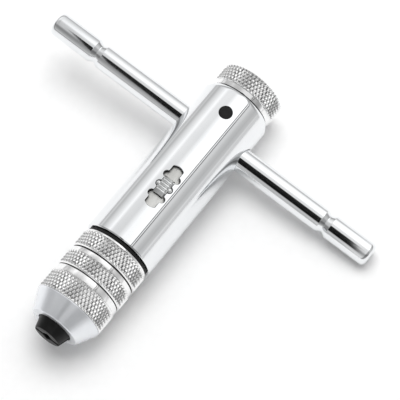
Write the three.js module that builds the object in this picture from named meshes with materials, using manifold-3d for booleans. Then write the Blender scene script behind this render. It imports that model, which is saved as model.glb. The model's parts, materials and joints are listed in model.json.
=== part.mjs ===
// Ratchet tap wrench with a sliding cross bar, a three-position ratchet switch and a two-jaw chuck.
//
// The wrench lies on the floor: its body touches along one line, and it is rolled over until the
// right end of the cross bar touches too. The nose points to -Y, the knurled knob to +Y, and the
// cross bar runs along X. Inside the "tool" group, Y is the tool's own axis with the cross bar at
// y = 0, X runs along the bar, and +Z is the side with the switch. All lengths are millimetres.

import * as THREE from 'three';
import { mergeVertices } from 'three/addons/utils/BufferGeometryUtils.js';
import Module from 'manifold-3d';

const wasm = await Module();
wasm.setup();

// ---------------------------------------------------------------- driving dimensions

const SIDES = 40;
const SMALL_SIDES = 24;
const TINY_SIDES = 12;
const GAP = 0.3;            // left between touching pieces that stay together
const PRESS_GAP = 0.2;      // left round pieces that are pressed into a bore
const RUNNING_GAP = 0.15;   // left between pieces that slide or turn in each other

const BODY_RADIUS = 9.6;
const BODY_BORE = 7.6;
const BODY_TOP = 10.8;
const BODY_BOTTOM = -38.2;
const BODY_CHAMFER_IN = 0.85;
const BODY_CHAMFER_LONG = 1.4;
const BODY_EDGE = 0.3;

const BAR_RADIUS = 3.26;
const BAR_HALF_LENGTH = 49.5;
const BAR_END_ROUND = 1.7;
const BAR_GROOVE_PLACE = 35.8;
const BAR_GROOVE_HALF_WIDTH = 1.3;
const BAR_GROOVE_DEPTH = 0.7;
const BAR_HOLE_RADIUS = BAR_RADIUS + RUNNING_GAP;
const BAR_BLOCK_BOTTOM = -6.2;

const PIN_PLACE = 4.0;
const PIN_RADIUS = 1.8;
const PIN_INNER = 4.35;
const PIN_OUTER = 9.42;

const KNOB_RADIUS = 8.85;
const KNOB_BOTTOM = BODY_TOP + GAP;
const KNOB_LAND_TOP = 12.2;
const KNOB_RIM_START = 17.0;
const KNOB_TOP = 18.3;
const KNOB_STEM_RADIUS = 3.2;
const KNOB_STEM_END = 6.2;
const SPRING_WELL_RADIUS = 1.75;
const SPRING_WELL_END = 13.2;

const DETENT_BALL_RADIUS = 1.5;
const DETENT_SPRING_RADIUS = 1.1;
const DETENT_SPRING_WIRE = 0.28;

const SLOT_CENTRE = -21.0;
const SLOT_WIDTH = 3.1;
const SLOT_LENGTH = 12.6;
const SLOT_END_BULGE = 0.5;
const NOTCH_SPACING = 3.1;
const NOTCH_RADIUS = 0.9;
const NOTCH_SIDES = 16;

const CARRIER_OUTER = 8.7;
const CARRIER_INNER = 7.05;
const CARRIER_HALF_LENGTH = SLOT_LENGTH / 2 + NOTCH_SPACING;
const CARRIER_HALF_WIDTH = 4.6;

// The bore is relieved behind the slot, where the carrier slides.
const RELIEF_RADIUS = CARRIER_OUTER + RUNNING_GAP;
const RELIEF_HALF_LENGTH = CARRIER_HALF_LENGTH + NOTCH_SPACING + PRESS_GAP;

const BUTTON_WIDTH = 2.85;
const BUTTON_HALF_LENGTH = 2.5;
const BUTTON_BOTTOM = CARRIER_OUTER + RUNNING_GAP;
const BUTTON_SHOULDER = BODY_RADIUS;
const BUTTON_TOP = 10.15;
const BUTTON_END_SLOPE = 0.45;
const BUTTON_RIBS = 4;
const BUTTON_RIB_PITCH = 1.03;
const BUTTON_RIB_DEPTH = 0.3;
const CLIP_HEIGHT = 9.15;
const CLIP_WIRE = 0.25;
const CLIP_OUT = 1.6;
const CLIP_EYE_RADIUS = 0.7;
const CLIP_EYE_HALF_HEIGHT = 0.5;

const WHEEL_TEETH = 12;
const WHEEL_TIP = 5.8;
const WHEEL_ROOT = 5.0;
const WHEEL_LENGTH = 5.5;
const WHEEL_SPREAD = 0.9;   // from the middle of the slot to each wheel's near face
const WHEEL_GAP_FLOOR = 1.3;
const WHEEL_SLOPE_SHARE = 0.72;
const LOWER_WHEEL_BOTTOM = SLOT_CENTRE - WHEEL_SPREAD - WHEEL_LENGTH;
const UPPER_WHEEL_BOTTOM = SLOT_CENTRE + WHEEL_SPREAD;
const SPACER_WALL = 0.5;
const SPACER_INNER = 4.55;

const PAWL_TIP = 5.15;
const PAWL_SHOULDER = 5.95;
const PAWL_TOP = 7.75;
const PAWL_LENGTH = 5.0;
const PAWL_TIP_WIDTH = 1.0;
const PAWL_WIDTH = 2.4;
const PAWL_SPRING_PLACE = 1.5;
const PAWL_SPRING_RADIUS = 0.42;
const PAWL_SPRING_WIRE = 0.12;
const PAWL_SPRING_WELL_RADIUS = 0.65;
const PAWL_SPRING_WELL_END = 9.5;

const SHAFT_TOP = -10.6;
const SHAFT_RADIUS = 3.6;
const SHAFT_EDGE = 0.4;
const SHAFT_SHOULDER = LOWER_WHEEL_BOTTOM - RUNNING_GAP;
const KEYWAY_HALF_WIDTH = 0.75;
const KEYWAY_INNER = 2.75;
const KEYWAY_OUTER = 4.35;
const JOURNAL_RADIUS = 4.6;
const BUSH_TOP = -34.9;
const BUSH_BOTTOM = -39.2;
const RING_GROOVE_DEPTH = 0.6;
const RING_GROOVE_WIDTH = 1.1;
const RING_GROOVE_TOP = SHAFT_TOP - 2.7;
const RING_GROOVE_BOTTOM = BUSH_TOP + 1.2;
const RING_THICKNESS = 0.8;
const RING_GAP_HALF_WIDTH = 1.2;
const TOP_RING_RADIUS = 5.2;
const LOWER_RING_RADIUS = 5.9;
const COLLAR_TOP = -39.7;
const FLANGE_TOP = -39.9;
const FLANGE_RADIUS = 6.1;
const SPINDLE_END = -55.6;
const SPINDLE_BORE = 3.3;
const SPINDLE_BORE_END = -42.0;
const SEAL_WIRE = 0.6;

const CHUCK_RADIUS = 9.4;
const LAND_RADIUS = 9.2;
const CHUCK_EDGE = 0.25;
const COLLAR_GROOVE_TOP = -44.5;
const COLLAR_GROOVE_BOTTOM = -44.9;
const COLLAR_GROOVE_DEPTH = 0.5;
const COLLAR_LAND_BOTTOM = -46.1;
const COLLAR_BOTTOM = -50.3;
const SPIGOT_RELIEF = 7.05;
const SPIGOT_THREAD = 7.55;
const SPIGOT_THREAD_TOP = -54.5;
const SPIGOT_END = -55.8;

const SLEEVE_TOP = COLLAR_BOTTOM - GAP;
const SLEEVE_LAND_BOTTOM = -52.2;
const SLEEVE_CONE_TOP = -57.8;
const NOSE_FACE = -63.2;
const NOSE_RADIUS = 6.65;
const NOSE_BORE = 4.78;
const NOSE_BORE_LAND = 0.4;
const CLAMP_ANGLE = THREE.MathUtils.degToRad(17);
const SLEEVE_STEP = -56.0;
const STOP_RING_TOP = -50.95;
const STOP_RING_BOTTOM = -51.4;
const STOP_RING_RADIUS = 8.3;
const STOP_RING_GAP_HALF_WIDTH = 0.8;

const JAW_TIP = -66.1;
const JAW_TOP = -56.1;
const JAW_TIP_RADIUS = 3.65;
const JAW_SIDES = 32;
const JAW_HALF_GAP = 0.3;
const JAW_SQUARE = 2.4;
const GUIDE_PIN_RADIUS = 0.6;
const GUIDE_PIN_HALF_LENGTH = 3.2;
const GUIDE_PIN_OUT = 3.9;
const GUIDE_PIN_PLACE = -58.2;
const JAW_SPRING_RADIUS = 1.0;
const JAW_SPRING_WIRE = 0.15;
const JAW_SPRING_POCKET = 1.35;
const JAW_SPRING_POCKET_DEPTH = 1.5;
const TONGUE_WIDTH = 2.8;
const TONGUE_TOP = -54.2;
const TONGUE_INNER = 3.5;
const TONGUE_OUTER = 5.2;

// The roll that lays the right end of the bar on the floor, and the middle of the tool's length.
const BAR_TILT = Math.asin((BODY_RADIUS - BAR_RADIUS) / (BAR_HALF_LENGTH - BAR_END_ROUND));
const AXIS_HEIGHT = BODY_RADIUS * Math.cos(Math.PI / SIDES);
const MIDDLE = (KNOB_TOP + JAW_TIP) / 2;

// ---------------------------------------------------------------- materials

function finish(color, roughness, metalness) {
  return new THREE.MeshStandardMaterial({ color, roughness, metalness });
}

const CHROME = { color: 0xdfe3e6, roughness: 0.08, metalness: 1.0 };
const SATIN = { color: 0xbfc5c9, roughness: 0.32, metalness: 1.0 };
const STEEL = { color: 0x9a9da0, roughness: 0.45, metalness: 1.0 };
const BLACK_OXIDE = { color: 0x17191a, roughness: 0.5, metalness: 0.6 };
const RUBBER = { color: 0x101010, roughness: 0.8, metalness: 0.0 };
const BRONZE = { color: 0xa9803f, roughness: 0.5, metalness: 1.0 };

function piece(name, geometry, { color, roughness, metalness }) {
  const mesh = new THREE.Mesh(geometry, finish(color, roughness, metalness));
  mesh.name = name;
  return mesh;
}

// ---------------------------------------------------------------- shape helpers

// A solid of revolution about Y. The profile of [radius, y] points runs up the outside and back
// down the inside, and one flat of the many-sided solid faces the floor.
function turned(profile, sides = SIDES) {
  const points = profile.map(([radius, y]) => new THREE.Vector2(radius, y));
  const firstCorner = Math.PI - BAR_TILT + Math.PI / sides;
  return new THREE.LatheGeometry(points, sides, firstCorner);
}

function ring(inner, outer, bottom, top, sides = SIDES) {
  return turned([[inner, bottom], [outer, bottom], [outer, top], [inner, top], [inner, bottom]], sides);
}

function box(x, y, z) {
  const geometry = new THREE.BoxGeometry(x[1] - x[0], y[1] - y[0], z[1] - z[0]);
  return geometry.translate((x[0] + x[1]) / 2, (y[0] + y[1]) / 2, (z[0] + z[1]) / 2);
}

// A round bar of the given radius between two points.
function rod(radius, from, to, sides = SMALL_SIDES) {
  const start = new THREE.Vector3(...from);
  const along = new THREE.Vector3(...to).sub(start);
  const geometry = new THREE.CylinderGeometry(radius, radius, along.length(), sides);
  geometry.translate(0, along.length() / 2, 0);
  const turn = new THREE.Quaternion().setFromUnitVectors(new THREE.Vector3(0, 1, 0), along.normalize());
  return geometry.applyQuaternion(turn).translate(...from);
}

class Helix extends THREE.Curve {
  constructor(radius, height, turns) {
    super();
    Object.assign(this, { radius, height, turns });
  }

  getPoint(t, target = new THREE.Vector3()) {
    const angle = 2 * Math.PI * this.turns * t;
    return target.set(this.radius * Math.cos(angle), this.height * t, this.radius * Math.sin(angle));
  }
}

// A compression spring that stands on y = 0.
function coilSpring(coilRadius, wireRadius, height, turns) {
  const section = new THREE.Shape();
  const wireSides = 5;
  const stepsPerTurn = 8;
  for (let side = 0; side < wireSides; side += 1) {
    const angle = (2 * Math.PI * side) / wireSides;
    const corner = [wireRadius * Math.cos(angle), wireRadius * Math.sin(angle)];
    if (side === 0) section.moveTo(...corner);
    else section.lineTo(...corner);
  }
  section.closePath();
  const path = new Helix(coilRadius, height - 2 * wireRadius, turns);
  const geometry = new THREE.ExtrudeGeometry(section, {
    steps: turns * stepsPerTurn,
    extrudePath: path,
    bevelEnabled: false,
  });
  return geometry.translate(0, wireRadius, 0);
}

// An open spring ring round the tool's axis, with its gap on the side away from the switch.
function openRing(inner, outer, bottom, top, gapHalfWidth, sides) {
  const gap = box([-gapHalfWidth, gapHalfWidth], [bottom - 1, top + 1], [-BODY_RADIUS, 0]);
  return cut(ring(inner, outer, bottom, top, sides), gap);
}

function toSolid(geometry) {
  const bare = geometry.clone();
  bare.deleteAttribute('normal');
  bare.deleteAttribute('uv');
  const merged = mergeVertices(bare, 1e-4);
  const corners = merged.index.array;
  const faces = [];
  for (let i = 0; i < corners.length; i += 3) {
    const [a, b, c] = corners.slice(i, i + 3);
    if (a !== b && b !== c && c !== a) faces.push(a, b, c);
  }
  return new wasm.Manifold(new wasm.Mesh({
    numProp: 3,
    vertProperties: merged.attributes.position.array,
    triVerts: new Uint32Array(faces),
  }));
}

function toGeometry(solid) {
  const mesh = solid.getMesh();
  const geometry = new THREE.BufferGeometry();
  geometry.setAttribute('position', new THREE.BufferAttribute(mesh.vertProperties, 3));
  geometry.setIndex(new THREE.BufferAttribute(mesh.triVerts, 1));
  geometry.computeVertexNormals();
  return geometry;
}

function cut(geometry, ...tools) {
  return toGeometry(tools.reduce((solid, tool) => solid.subtract(toSolid(tool)), toSolid(geometry)));
}

function join(geometry, ...others) {
  return toGeometry(others.reduce((solid, other) => solid.add(toSolid(other)), toSolid(geometry)));
}

function common(geometry, other) {
  return toGeometry(toSolid(geometry).intersect(toSolid(other)));
}

// ---------------------------------------------------------------- housing

// The switch slot: straight sides, shallow curved ends and three pairs of round detent notches.
function slotCutters() {
  const half = SLOT_LENGTH / 2;
  const side = SLOT_WIDTH / 2;
  const outline = new THREE.Shape();
  outline.moveTo(-side, -half + SLOT_END_BULGE);
  outline.quadraticCurveTo(0, -half - SLOT_END_BULGE, side, -half + SLOT_END_BULGE);
  outline.lineTo(side, half - SLOT_END_BULGE);
  outline.quadraticCurveTo(0, half + SLOT_END_BULGE, -side, half - SLOT_END_BULGE);
  outline.closePath();
  const floor = CARRIER_INNER;
  const depth = BODY_RADIUS + 1 - floor;
  const slot = new THREE.ExtrudeGeometry(outline, { depth, bevelEnabled: false, curveSegments: 6 });
  slot.translate(0, SLOT_CENTRE, floor);
  const cutters = [slot];
  for (const step of [-1, 0, 1]) {
    for (const edge of [-side, side]) {
      const y = SLOT_CENTRE + step * NOTCH_SPACING;
      cutters.push(rod(NOTCH_RADIUS, [edge, y, floor], [edge, y, floor + depth], NOTCH_SIDES));
    }
  }
  return cutters;
}

function bodyTube() {
  const reliefBottom = SLOT_CENTRE - RELIEF_HALF_LENGTH;
  const reliefTop = SLOT_CENTRE + RELIEF_HALF_LENGTH;
  const tube = turned([
    [BODY_BORE, BODY_BOTTOM],
    [BODY_RADIUS - BODY_EDGE, BODY_BOTTOM],
    [BODY_RADIUS, BODY_BOTTOM + BODY_EDGE],
    [BODY_RADIUS, BODY_TOP - BODY_CHAMFER_LONG],
    [BODY_RADIUS - BODY_CHAMFER_IN, BODY_TOP],
    [BODY_BORE, BODY_TOP],
    [BODY_BORE, reliefTop],
    [RELIEF_RADIUS, reliefTop],
    [RELIEF_RADIUS, reliefBottom],
    [BODY_BORE, reliefBottom],
    [BODY_BORE, BODY_BOTTOM],
  ]);
  const beyond = BODY_RADIUS + 1;
  const barHole = rod(BAR_HOLE_RADIUS, [-beyond, 0, 0], [beyond, 0, 0]);
  const pinHole = rod(PIN_RADIUS + RUNNING_GAP, [0, PIN_PLACE, PIN_INNER], [0, PIN_PLACE, beyond]);
  return cut(tube, barHole, pinHole, ...slotCutters());
}

// The solid block in the top of the body, drilled for the bar, its detent, the knob's stem and
// the pin that holds it.
function barBlock() {
  const top = BODY_TOP - GAP;
  const radius = BODY_BORE - PRESS_GAP;
  const stemHoleEnd = KNOB_STEM_END - GAP;
  const pinHoleEnd = PIN_INNER - GAP;
  const block = turned([[0, BAR_BLOCK_BOTTOM], [radius, BAR_BLOCK_BOTTOM], [radius, top], [0, top]]);
  const barHole = rod(BAR_HOLE_RADIUS, [-BODY_RADIUS, 0, 0], [BODY_RADIUS, 0, 0]);
  const stemHole = rod(KNOB_STEM_RADIUS + GAP, [0, stemHoleEnd, 0], [0, top + 1, 0]);
  const ballHole = rod(DETENT_BALL_RADIUS + RUNNING_GAP, [0, 0, 0], [0, stemHoleEnd + 1, 0]);
  const pinHole = rod(PIN_RADIUS + RUNNING_GAP, [0, PIN_PLACE, pinHoleEnd], [0, PIN_PLACE, BODY_RADIUS]);
  return cut(block, barHole, stemHole, ballHole, pinHole);
}

function blockPin() {
  return rod(PIN_RADIUS, [0, PIN_PLACE, PIN_INNER], [0, PIN_PLACE, PIN_OUTER]);
}

// The knob has a plain land next to the body, a knurled band, a rounded rim and a slightly
// crowned end. Its stem is bored for the spring of the bar's detent.
function knurledKnob() {
  return turned([
    [0, SPRING_WELL_END],
    [SPRING_WELL_RADIUS, SPRING_WELL_END],
    [SPRING_WELL_RADIUS, KNOB_STEM_END],
    [KNOB_STEM_RADIUS, KNOB_STEM_END],
    [KNOB_STEM_RADIUS, KNOB_BOTTOM],
    [KNOB_RADIUS - 0.55, KNOB_BOTTOM],
    [KNOB_RADIUS - 0.25, KNOB_LAND_TOP],
    [KNOB_RADIUS, KNOB_LAND_TOP + 0.3],
    [KNOB_RADIUS, KNOB_RIM_START],
    [KNOB_RADIUS - 0.35, KNOB_RIM_START + 0.65],
    [KNOB_RADIUS - 1.3, KNOB_TOP - 0.2],
    [0, KNOB_TOP],
  ]);
}

function detentBall() {
  const centre = BAR_RADIUS + DETENT_BALL_RADIUS + 0.05;
  return new THREE.SphereGeometry(DETENT_BALL_RADIUS, 16, 10).translate(0, centre, 0);
}

function detentSpring() {
  const bottom = BAR_RADIUS + 2 * DETENT_BALL_RADIUS + GAP;
  const height = SPRING_WELL_END - GAP - bottom;
  const turns = 6;
  return coilSpring(DETENT_SPRING_RADIUS, DETENT_SPRING_WIRE, height, turns).translate(0, bottom, 0);
}

// A plain bush pressed into the bottom of the body, with a collar that carries the seal ring.
function spindleBush() {
  return ring(JOURNAL_RADIUS + RUNNING_GAP, BODY_BORE - PRESS_GAP, BUSH_BOTTOM, BUSH_TOP, SMALL_SIDES);
}

function sealRing() {
  const middle = (BODY_BOTTOM + COLLAR_TOP) / 2;
  const wireSides = 6;
  const torus = new THREE.TorusGeometry(BODY_BORE + RUNNING_GAP + SEAL_WIRE, SEAL_WIRE, wireSides, SIDES);
  return torus.rotateX(Math.PI / 2).translate(0, middle, 0);
}

// ---------------------------------------------------------------- cross bar

function crossBar() {
  const groove = [
    [BAR_RADIUS, BAR_GROOVE_PLACE - BAR_GROOVE_HALF_WIDTH],
    [BAR_RADIUS - BAR_GROOVE_DEPTH, BAR_GROOVE_PLACE],
    [BAR_RADIUS, BAR_GROOVE_PLACE + BAR_GROOVE_HALF_WIDTH],
  ];
  const roundSteps = 4;
  const end = [];
  for (let step = 0; step <= roundSteps; step += 1) {
    const angle = (step / roundSteps) * (Math.PI / 2);
    const radius = BAR_RADIUS - BAR_END_ROUND * (1 - Math.cos(angle));
    end.push([radius, BAR_HALF_LENGTH - BAR_END_ROUND * (1 - Math.sin(angle))]);
  }
  end.push([0, BAR_HALF_LENGTH]);
  const right = [...groove, ...end];
  const left = right.map(([radius, along]) => [radius, -along]).reverse();
  const points = [...left, ...right].map(([radius, along]) => new THREE.Vector2(radius, along));
  const bar = new THREE.LatheGeometry(points, SMALL_SIDES, Math.PI / SMALL_SIDES);
  return bar.rotateZ(-Math.PI / 2);
}

// ---------------------------------------------------------------- ratchet switch

// The curved plate that slides in the relief behind the slot, with a window for the pawl.
function switchCarrier() {
  const bottom = SLOT_CENTRE - CARRIER_HALF_LENGTH;
  const top = SLOT_CENTRE + CARRIER_HALF_LENGTH;
  const shell = ring(CARRIER_INNER, CARRIER_OUTER, bottom, top);
  const width = [-CARRIER_HALF_WIDTH, CARRIER_HALF_WIDTH];
  const plate = common(shell, box(width, [bottom, top], [0, CARRIER_OUTER]));
  const windowX = PAWL_WIDTH / 2 + RUNNING_GAP;
  const windowY = PAWL_LENGTH / 2 + RUNNING_GAP;
  const window = box([-windowX, windowX], [SLOT_CENTRE - windowY, SLOT_CENTRE + windowY], [0, BODY_RADIUS]);
  return cut(plate, window);
}

// The thumb button: sloping ends, cross ribs on top, a groove underneath for the detent clip and
// two wells for the pawl's springs.
function switchButton() {
  const outline = new THREE.Shape();
  const slopeStart = BUTTON_HALF_LENGTH - BUTTON_END_SLOPE;
  const valleyHalfWidth = BUTTON_RIB_PITCH * 0.35;
  outline.moveTo(-BUTTON_HALF_LENGTH, BUTTON_BOTTOM);
  outline.lineTo(BUTTON_HALF_LENGTH, BUTTON_BOTTOM);
  outline.lineTo(BUTTON_HALF_LENGTH, BUTTON_SHOULDER);
  outline.lineTo(slopeStart, BUTTON_TOP);
  for (let rib = 0; rib < BUTTON_RIBS; rib += 1) {
    const valley = ((BUTTON_RIBS - 1) / 2 - rib) * BUTTON_RIB_PITCH;
    outline.lineTo(valley + valleyHalfWidth, BUTTON_TOP);
    outline.lineTo(valley, BUTTON_TOP - BUTTON_RIB_DEPTH);
    outline.lineTo(valley - valleyHalfWidth, BUTTON_TOP);
  }
  outline.lineTo(-slopeStart, BUTTON_TOP);
  outline.lineTo(-BUTTON_HALF_LENGTH, BUTTON_SHOULDER);
  outline.closePath();
  const block = new THREE.ExtrudeGeometry(outline, { depth: BUTTON_WIDTH, bevelEnabled: false });
  block.translate(0, 0, -BUTTON_WIDTH / 2);
  // The outline's first axis becomes Y, its second becomes Z, and the extrusion runs along X.
  block.rotateY(Math.PI / 2).rotateX(Math.PI / 2).translate(0, SLOT_CENTRE, 0);
  const room = CLIP_WIRE + RUNNING_GAP;
  const below = BUTTON_BOTTOM - 1;
  const clipGroove = box(
    [-BUTTON_WIDTH, BUTTON_WIDTH],
    [SLOT_CENTRE - room, SLOT_CENTRE + room],
    [below, CLIP_HEIGHT + room],
  );
  const wells = [-PAWL_SPRING_PLACE, PAWL_SPRING_PLACE].map((along) => {
    const y = SLOT_CENTRE + along;
    return rod(PAWL_SPRING_WELL_RADIUS, [0, y, below], [0, y, PAWL_SPRING_WELL_END], TINY_SIDES);
  });
  return cut(block, clipGroove, ...wells);
}

// A spring wire across the button, with a rounded eye at each end that sits in a notch.
function detentClip() {
  const end = (side) => [side * CLIP_OUT, SLOT_CENTRE, CLIP_HEIGHT];
  const wire = rod(CLIP_WIRE, end(-1), end(1), TINY_SIDES);
  const reach = BUTTON_WIDTH / 2 + RUNNING_GAP;
  const far = CLIP_OUT + 2;
  const along = [SLOT_CENTRE - 2, SLOT_CENTRE + 2];
  const height = [CLIP_HEIGHT - 2, CLIP_HEIGHT + 2];
  const eyes = [-1, 1].map((side) => {
    const eye = new THREE.SphereGeometry(CLIP_EYE_RADIUS, TINY_SIDES, 8);
    eye.scale(1, 1, CLIP_EYE_HALF_HEIGHT / CLIP_EYE_RADIUS);
    eye.translate(...end(side));
    const outside = side < 0 ? [-far, -reach] : [reach, far];
    return common(eye, box(outside, along, height));
  });
  return join(wire, ...eyes);
}

// The pawl spans both ratchet wheels in the middle position and only one at either end.
function pawl() {
  const half = PAWL_LENGTH / 2;
  const length = [SLOT_CENTRE - half, SLOT_CENTRE + half];
  const tip = box([-PAWL_TIP_WIDTH / 2, PAWL_TIP_WIDTH / 2], length, [PAWL_TIP, PAWL_TOP]);
  const body = box([-PAWL_WIDTH / 2, PAWL_WIDTH / 2], length, [PAWL_SHOULDER, PAWL_TOP]);
  return join(tip, body);
}

function pawlSpring(side) {
  const bottom = PAWL_TOP + RUNNING_GAP;
  const height = PAWL_SPRING_WELL_END - 0.1 - bottom;
  const turns = 2;
  const spring = coilSpring(PAWL_SPRING_RADIUS, PAWL_SPRING_WIRE, height, turns).rotateX(Math.PI / 2);
  return spring.translate(0, SLOT_CENTRE + side * PAWL_SPRING_PLACE, bottom);
}

// ---------------------------------------------------------------- spindle and ratchet wheels

function spindle() {
  const journalGroove = JOURNAL_RADIUS - RING_GROOVE_DEPTH;
  const shaftGroove = SHAFT_RADIUS - RING_GROOVE_DEPTH;
  const shaft = turned([
    [0, SPINDLE_BORE_END],
    [SPINDLE_BORE, SPINDLE_BORE_END],
    [SPINDLE_BORE, SPINDLE_END],
    [FLANGE_RADIUS, SPINDLE_END],
    [FLANGE_RADIUS, FLANGE_TOP],
    [JOURNAL_RADIUS, FLANGE_TOP],
    [JOURNAL_RADIUS, RING_GROOVE_BOTTOM],
    [journalGroove, RING_GROOVE_BOTTOM],
    [journalGroove, RING_GROOVE_BOTTOM + RING_GROOVE_WIDTH],
    [JOURNAL_RADIUS, RING_GROOVE_BOTTOM + RING_GROOVE_WIDTH],
    [JOURNAL_RADIUS, SHAFT_SHOULDER],
    [SHAFT_RADIUS, SHAFT_SHOULDER],
    [SHAFT_RADIUS, RING_GROOVE_TOP - RING_GROOVE_WIDTH],
    [shaftGroove, RING_GROOVE_TOP - RING_GROOVE_WIDTH],
    [shaftGroove, RING_GROOVE_TOP],
    [SHAFT_RADIUS, RING_GROOVE_TOP],
    [SHAFT_RADIUS, SHAFT_TOP - SHAFT_EDGE],
    [SHAFT_RADIUS - SHAFT_EDGE, SHAFT_TOP],
    [0, SHAFT_TOP],
  ], SMALL_SIDES);
  const keyway = box(
    [-KEYWAY_HALF_WIDTH, KEYWAY_HALF_WIDTH],
    [SHAFT_SHOULDER, RING_GROOVE_TOP],
    [-KEYWAY_OUTER, -KEYWAY_INNER],
  );
  const slotSide = TONGUE_WIDTH / 2 + RUNNING_GAP;
  const across = [-BODY_RADIUS, BODY_RADIUS];
  const tongueSlot = box([-slotSide, slotSide], [SPINDLE_END - 1, TONGUE_TOP + GAP], across);
  return cut(shaft, keyway, tongueSlot);
}

// A saw-toothed wheel. Each gap has a flat floor under the pawl, one steep flank and one long
// sloping flank. handed is +1 or -1, the side of the gap on which the slope lies.
function ratchetWheel(handed, bottom) {
  const pitch = (2 * Math.PI) / WHEEL_TEETH;
  const floorHalf = WHEEL_GAP_FLOOR / 2 / WHEEL_ROOT;
  const slopeReach = WHEEL_SLOPE_SHARE * pitch;
  const outline = new THREE.Shape();
  const corner = (radius, angle) => [radius * Math.cos(angle), radius * Math.sin(angle)];
  for (let tooth = 0; tooth < WHEEL_TEETH; tooth += 1) {
    const middle = Math.PI / 2 + tooth * pitch;
    const gap = [
      corner(WHEEL_TIP, middle - handed * floorHalf),
      corner(WHEEL_ROOT, middle - handed * floorHalf),
      corner(WHEEL_ROOT, middle + handed * floorHalf),
      corner(WHEEL_TIP, middle + handed * (slopeReach - floorHalf)),
    ];
    if (handed < 0) gap.reverse();
    gap.forEach((point, place) => {
      if (tooth === 0 && place === 0) outline.moveTo(...point);
      else outline.lineTo(...point);
    });
  }
  outline.closePath();
  const bore = new THREE.Path();
  bore.absarc(0, 0, SHAFT_RADIUS + RUNNING_GAP, 0, 2 * Math.PI, true);
  outline.holes.push(bore);
  const wheel = new THREE.ExtrudeGeometry(outline, {
    depth: WHEEL_LENGTH,
    bevelEnabled: false,
    curveSegments: TINY_SIDES,
  });
  wheel.rotateX(Math.PI / 2).translate(0, bottom + WHEEL_LENGTH, 0).rotateY(Math.PI);
  const keyway = box(
    [-KEYWAY_HALF_WIDTH, KEYWAY_HALF_WIDTH],
    [bottom - 1, bottom + WHEEL_LENGTH + 1],
    [-KEYWAY_OUTER, 0],
  );
  return cut(wheel, keyway);
}

function wheelKey() {
  const halfWidth = KEYWAY_HALF_WIDTH - RUNNING_GAP;
  const length = [LOWER_WHEEL_BOTTOM + RUNNING_GAP, UPPER_WHEEL_BOTTOM + WHEEL_LENGTH - RUNNING_GAP];
  return box([-halfWidth, halfWidth], length, [RUNNING_GAP - KEYWAY_OUTER, -KEYWAY_INNER - RUNNING_GAP]);
}

function wheelSpacer() {
  const halfLength = WHEEL_SPREAD - PRESS_GAP;
  const outer = SPACER_INNER + SPACER_WALL;
  return ring(SPACER_INNER, outer, SLOT_CENTRE - halfLength, SLOT_CENTRE + halfLength, SMALL_SIDES);
}

function topRetainingRing() {
  const inner = SHAFT_RADIUS - RING_GROOVE_DEPTH + RUNNING_GAP;
  const top = RING_GROOVE_TOP - RUNNING_GAP;
  return openRing(inner, TOP_RING_RADIUS, top - RING_THICKNESS, top, RING_GAP_HALF_WIDTH, SMALL_SIDES);
}

function lowerRetainingRing() {
  const inner = JOURNAL_RADIUS - RING_GROOVE_DEPTH + RUNNING_GAP;
  const bottom = RING_GROOVE_BOTTOM + RUNNING_GAP;
  const top = bottom + RING_THICKNESS;
  return openRing(inner, LOWER_RING_RADIUS, bottom, top, RING_GAP_HALF_WIDTH, SMALL_SIDES);
}

function thrustWasher() {
  const bottom = BUSH_TOP + PRESS_GAP;
  return ring(JOURNAL_RADIUS + RUNNING_GAP, FLANGE_RADIUS, bottom, bottom + RING_THICKNESS, SMALL_SIDES);
}

// ---------------------------------------------------------------- chuck

// Two knurled bands with a dark groove and a plain land between them. Below them a spigot carries
// the nose sleeve: a relief for its stop ring, then a short thread, drawn plain.
function chuckCollar() {
  const bore = FLANGE_RADIUS + PRESS_GAP;
  const grooveFloor = LAND_RADIUS - COLLAR_GROOVE_DEPTH;
  return turned([
    [bore, SPIGOT_END],
    [SPIGOT_THREAD, SPIGOT_END],
    [SPIGOT_THREAD, SPIGOT_THREAD_TOP],
    [SPIGOT_RELIEF, SPIGOT_THREAD_TOP],
    [SPIGOT_RELIEF, COLLAR_BOTTOM],
    [CHUCK_RADIUS - CHUCK_EDGE, COLLAR_BOTTOM],
    [CHUCK_RADIUS, COLLAR_BOTTOM + CHUCK_EDGE],
    [CHUCK_RADIUS, COLLAR_LAND_BOTTOM - CHUCK_EDGE],
    [LAND_RADIUS, COLLAR_LAND_BOTTOM],
    [LAND_RADIUS, COLLAR_GROOVE_BOTTOM],
    [grooveFloor, COLLAR_GROOVE_BOTTOM],
    [grooveFloor, COLLAR_GROOVE_TOP],
    [CHUCK_RADIUS - CHUCK_EDGE, COLLAR_GROOVE_TOP],
    [CHUCK_RADIUS, COLLAR_GROOVE_TOP + CHUCK_EDGE],
    [CHUCK_RADIUS, COLLAR_TOP - CHUCK_EDGE],
    [CHUCK_RADIUS - CHUCK_EDGE, COLLAR_TOP],
    [bore, COLLAR_TOP],
    [bore, SPIGOT_END],
  ]);
}

// The radius of the sleeve's clamping cone at a height along the tool.
function clampRadius(y) {
  return NOSE_BORE + (y - NOSE_FACE - NOSE_BORE_LAND) * Math.tan(CLAMP_ANGLE);
}

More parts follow.
